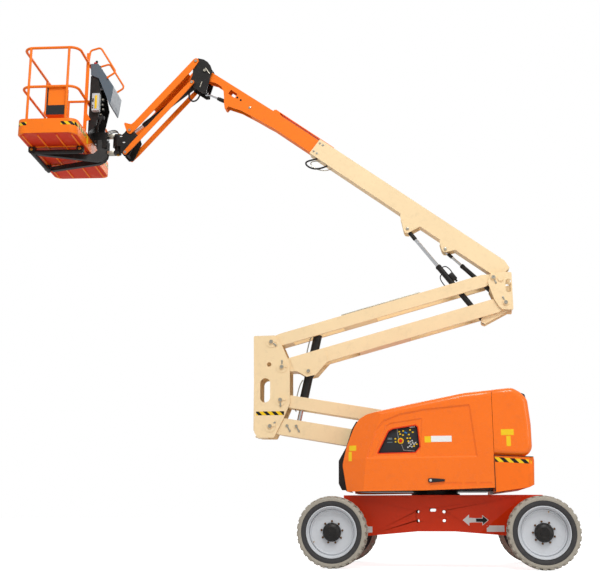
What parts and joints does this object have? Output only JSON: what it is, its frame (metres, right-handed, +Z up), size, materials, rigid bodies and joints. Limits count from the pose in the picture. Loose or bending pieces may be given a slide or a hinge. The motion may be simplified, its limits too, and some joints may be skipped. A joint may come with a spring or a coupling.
{
  "type": "articulating boom lift",
  "caption": "Articulating electric boom lift with a steered chassis, swinging turret, two-stage folding tower, telescopic boom, jib and railed work platform",
  "frame": {"origin": "on the ground, straight below the turret's swing axis", "axes": "+X towards the counterweight end, +Z up, booms reach towards -X"},
  "size_m": [6.1548, 1.75, 6.0739],
  "materials": {
    "orange": "satin",
    "red_orange": "satin",
    "beige": "satin",
    "black": "satin",
    "tyre": "satin",
    "rim": "satin",
    "hood": "satin",
    "weight": "satin",
    "chrome": "satin",
    "battery": "satin",
    "panel": "satin",
    "console": "satin",
    "box": "satin",
    "storage": "satin"
  },
  "bodies": {
    "chassis": {"chassis_frame": "red_orange", "drive_axle": "red_orange", "steer_axle": "red_orange", "swing_bearing": "black"},
    "turret": {"turret_base": "black", "counterweight": "weight", "rear_cover_left": "hood", "rear_cover_right": "hood", "battery_pack_left": "battery", "battery_pack_right": "battery", "ground_controls": "panel"},
    "hood_left_body": {"hood_left": "hood"},
    "hood_right_body": {"hood_right": "hood"},
    "steer_left": {"steer_knuckle_left": "red_orange"},
    "steer_right": {"steer_knuckle_right": "red_orange"},
    "steering_tie": {"tie_rod": "black"},
    "lower_boom_body": {"lower_boom": "beige"},
    "lower_link_body": {"lower_link": "beige"},
    "mid_upright_body": {"mid_upright": "beige"},
    "upper_arm_body": {"upper_arm": "beige"},
    "upper_link_body": {"upper_link": "beige"},
    "upper_upright_body": {"upper_upright": "beige"},
    "base_boom_body": {"base_boom": "beige"},
    "fly_boom_body": {"fly_boom": "orange"},
    "head": {"boom_head": "black"},
    "jib": {"jib_boom": "orange"},
    "jib_links": {"jib_link_left": "orange", "jib_link_right": "orange"},
    "bracket": {"jib_bracket": "black"},
    "platform": {"platform_support": "black", "platform_floor": "orange", "platform_rails": "orange", "console": "console", "console_stand": "black", "socket_box": "box", "storage_box": "storage"},
    "entry": {"entry_bar": "orange"},
    "tower_barrel": {"tower_cylinder_barrel": "black"},
    "tower_rod": {"tower_cylinder_rod": "chrome"},
    "lift_barrel": {"lift_cylinder_barrel": "black"},
    "lift_rod": {"lift_cylinder_rod": "chrome"},
    "master_barrel": {"master_cylinder_barrel": "black"},
    "master_rod": {"master_cylinder_rod": "chrome"},
    "slave_barrel": {"slave_cylinder_barrel": "black"},
    "slave_rod": {"slave_cylinder_rod": "chrome"},
    "jib_barrel": {"jib_cylinder_barrel": "black"},
    "jib_rod": {"jib_cylinder_rod": "chrome"},
    "wheel_drive_left": {"tyre_drive_left": "tyre", "rim_drive_left": "rim"},
    "wheel_drive_right": {"tyre_drive_right": "tyre", "rim_drive_right": "rim"},
    "wheel_steer_left": {"tyre_steer_left": "tyre", "rim_steer_left": "rim"},
    "wheel_steer_right": {"tyre_steer_right": "tyre", "rim_steer_right": "rim"}
  },
  "joints": [
    {"name": "turret_swing", "type": "hinge", "parent": "chassis", "child": "turret", "pos_m": [0, 0, 0.737], "axis": [0, 0, 1], "range_deg": [-177.5, 177.5]},
    {"name": "spin_drive_left", "type": "hinge", "parent": "chassis", "child": "wheel_drive_left", "pos_m": [-1.025, -0.755, 0.35], "axis": [0, 1, 0], "continuous": true},
    {"name": "spin_drive_right", "type": "hinge", "parent": "chassis", "child": "wheel_drive_right", "pos_m": [-1.025, 0.755, 0.35], "axis": [0, 1, 0], "continuous": true},
    {"name": "steering", "type": "hinge", "parent": "chassis", "child": "steer_left", "pos_m": [1.025, -0.54, 0.35], "axis": [0, 0, 1], "range_deg": [-35, 35]},
    {"name": "steering_right", "type": "hinge", "parent": "chassis", "child": "steer_right", "pos_m": [1.025, 0.54, 0.35], "axis": [0, 0, 1], "range_deg": [-35.5, 35.5]},
    {"name": "tie_rod_swing", "type": "hinge", "parent": "steer_left", "child": "steering_tie", "pos_m": [0.895, -0.54, 0.273], "axis": [0, 0, 1], "range_deg": [-35.5, 35.5]},
    {"name": "spin_steer_left", "type": "hinge", "parent": "steer_left", "child": "wheel_steer_left", "pos_m": [1.025, -0.755, 0.35], "axis": [0, 1, 0], "continuous": true},
    {"name": "spin_steer_right", "type": "hinge", "parent": "steer_right", "child": "wheel_steer_right", "pos_m": [1.025, 0.755, 0.35], "axis": [0, 1, 0], "continuous": true},
    {"name": "hood_left_lift", "type": "hinge", "parent": "turret", "child": "hood_left_body", "pos_m": [0, -0.262, 1.712], "axis": [-1, 0, 0], "range_deg": [0, 50]},
    {"name": "hood_right_lift", "type": "hinge", "parent": "turret", "child": "hood_right_body", "pos_m": [0, 0.262, 1.712], "axis": [1, 0, 0], "range_deg": [0, 50]},
    {"name": "tower_lift", "type": "hinge", "parent": "turret", "child": "lower_boom_body", "pos_m": [0.194, 0, 1.1215], "axis": [0, 1, 0], "range_deg": [-14.6, 55]},
    {"name": "lower_link_swing", "type": "hinge", "parent": "turret", "child": "lower_link_body", "pos_m": [0.308, 0, 1.4075], "axis": [0, 1, 0], "range_deg": [-15.1, 55.5]},
    {"name": "mid_upright_level", "type": "hinge", "parent": "lower_boom_body", "child": "mid_upright_body", "pos_m": [-1.77474, 0, 1.4651], "axis": [0, 1, 0], "range_deg": [-55.5, 15.1]},
    {"name": "upper_arm_raise", "type": "hinge", "parent": "mid_upright_body", "child": "upper_arm_body", "pos_m": [-1.64574, 0, 2.1171], "axis": [0, -1, 0], "range_deg": [-15.1, 55.5]},
    {"name": "upper_link_raise", "type": "hinge", "parent": "mid_upright_body", "child": "upper_link_body", "pos_m": [-1.76574, 0, 2.4021], "axis": [0, -1, 0], "range_deg": [-15.1, 55.5]},
    {"name": "upper_upright_level", "type": "hinge", "parent": "upper_arm_body", "child": "upper_upright_body", "pos_m": [0.82392, 0, 2.77192], "axis": [0, -1, 0], "range_deg": [-55.5, 15.1]},
    {"name": "tower_barrel_turn", "type": "hinge", "parent": "upper_arm_body", "child": "tower_barrel", "pos_m": [-1.35074, 0, 2.0671], "axis": [0, 1, 0], "range_deg": [-14.05, 51.56]},
    {"name": "tower_rod_stroke", "type": "slide", "parent": "tower_barrel", "child": "tower_rod", "axis": [-0.2183, 0, -0.9759], "range_m": [-0.13884, 0.51748]},
    {"name": "main_boom_lift", "type": "hinge", "parent": "upper_upright_body", "child": "base_boom_body", "pos_m": [0.77992, 0, 3.04092], "axis": [0, 1, 0], "range_deg": [-34.7, 37.8]},
    {"name": "lift_barrel_turn", "type": "hinge", "parent": "upper_upright_body", "child": "lift_barrel", "pos_m": [0.58692, -0.033, 2.58992], "axis": [0, 1, 0], "range_deg": [-28.8, 31.33]},
    {"name": "lift_rod_stroke", "type": "slide", "parent": "lift_barrel", "child": "lift_rod", "axis": [-0.6006, 0, 0.7995], "range_m": [-0.25164, 0.27394]},
    {"name": "master_barrel_turn", "type": "hinge", "parent": "upper_upright_body", "child": "master_barrel", "pos_m": [0.68992, 0.038, 2.92992], "axis": [0, 1, 0], "range_deg": [-34.6, 37.64]},
    {"name": "master_rod_stroke", "type": "slide", "parent": "master_barrel", "child": "master_rod", "axis": [-0.7131, 0, 0.701], "range_m": [-0.08079, 0.08783]},
    {"name": "boom_extend", "type": "slide", "parent": "base_boom_body", "child": "fly_boom_body", "axis": [-0.7965, 0, 0.6046], "range_m": [-0.54, 1.62]},
    {"name": "head_level", "type": "hinge", "parent": "fly_boom_body", "child": "head", "pos_m": [-2.61817, 0, 5.77714], "axis": [0, 1, 0], "range_deg": [-38.3, 35.2]},
    {"name": "slave_barrel_turn", "type": "hinge", "parent": "fly_boom_body", "child": "slave_barrel", "pos_m": [-2.06684, 0, 5.24316], "axis": [0, 1, 0], "range_deg": [-6.77, 7.33]},
    {"name": "slave_rod_stroke", "type": "slide", "parent": "slave_barrel", "child": "slave_rod", "axis": [-0.8945, 0, 0.447], "range_m": [-0.13111, 0.12052]},
    {"name": "jib_lift", "type": "hinge", "parent": "head", "child": "jib", "pos_m": [-2.73017, 0, 5.90814], "axis": [0, 1, 0], "range_deg": [-13, 131]},
    {"name": "jib_links_swing", "type": "hinge", "parent": "head", "child": "jib_links", "pos_m": [-2.76717, 0, 5.62014], "axis": [0, 1, 0], "range_deg": [-13.5, 131.5]},
    {"name": "bracket_level", "type": "hinge", "parent": "jib", "child": "bracket", "pos_m": [-3.52947, 0, 5.051], "axis": [0, 1, 0], "range_deg": [-131.5, 13.5]},
    {"name": "jib_barrel_turn", "type": "hinge", "parent": "head", "child": "jib_barrel", "pos_m": [-2.76717, 0, 5.62014], "axis": [0, 1, 0], "range_deg": [-12.79, 124.3]},
    {"name": "jib_rod_stroke", "type": "slide", "parent": "jib_barrel", "child": "jib_rod", "axis": [-0.8013, 0, -0.5983], "range_m": [-0.05532, 0.5393]},
    {"name": "platform_rotate", "type": "hinge", "parent": "bracket", "child": "platform", "pos_m": [-3.7, 0, 4.922], "axis": [0, 0, 1], "range_deg": [-90, 90]},
    {"name": "entry_bar_lift", "type": "slide", "parent": "platform", "child": "entry", "axis": [0, 0, 1], "range_m": [0, 0.38]}
  ],
  "couplings": [
    {"joint": "steering_right", "follows": "steering", "ratio": 1},
    {"joint": "tie_rod_swing", "follows": "steering", "ratio": -1},
    {"joint": "lower_link_swing", "follows": "tower_lift", "ratio": 1},
    {"joint": "mid_upright_level", "follows": "tower_lift", "ratio": -1},
    {"joint": "upper_arm_raise", "follows": "tower_lift", "ratio": 1},
    {"joint": "upper_link_raise", "follows": "tower_lift", "ratio": 1},
    {"joint": "upper_upright_level", "follows": "tower_lift", "ratio": -1},
    {"joint": "tower_barrel_turn", "follows": "tower_lift", "ratio": 0.9283},
    {"joint": "tower_rod_stroke", "follows": "tower_lift", "m_per_rad": 0.537},
    {"joint": "lift_barrel_turn", "follows": "main_boom_lift", "ratio": 0.8156},
    {"joint": "lift_rod_stroke", "follows": "main_boom_lift", "m_per_rad": 0.4122},
    {"joint": "master_barrel_turn", "follows": "main_boom_lift", "ratio": 0.9826},
    {"joint": "master_rod_stroke", "follows": "main_boom_lift", "m_per_rad": 0.1301},
    {"joint": "head_level", "follows": "main_boom_lift", "ratio": -1},
    {"joint": "slave_barrel_turn", "follows": "main_boom_lift", "ratio": 0.1806},
    {"joint": "slave_rod_stroke", "follows": "main_boom_lift", "m_per_rad": -0.1957},
    {"joint": "jib_links_swing", "follows": "jib_lift", "ratio": 1},
    {"joint": "bracket_level", "follows": "jib_lift", "ratio": -1},
    {"joint": "jib_barrel_turn", "follows": "jib_lift", "ratio": 0.945},
    {"joint": "jib_rod_stroke", "follows": "jib_lift", "m_per_rad": 0.235}
  ]
}
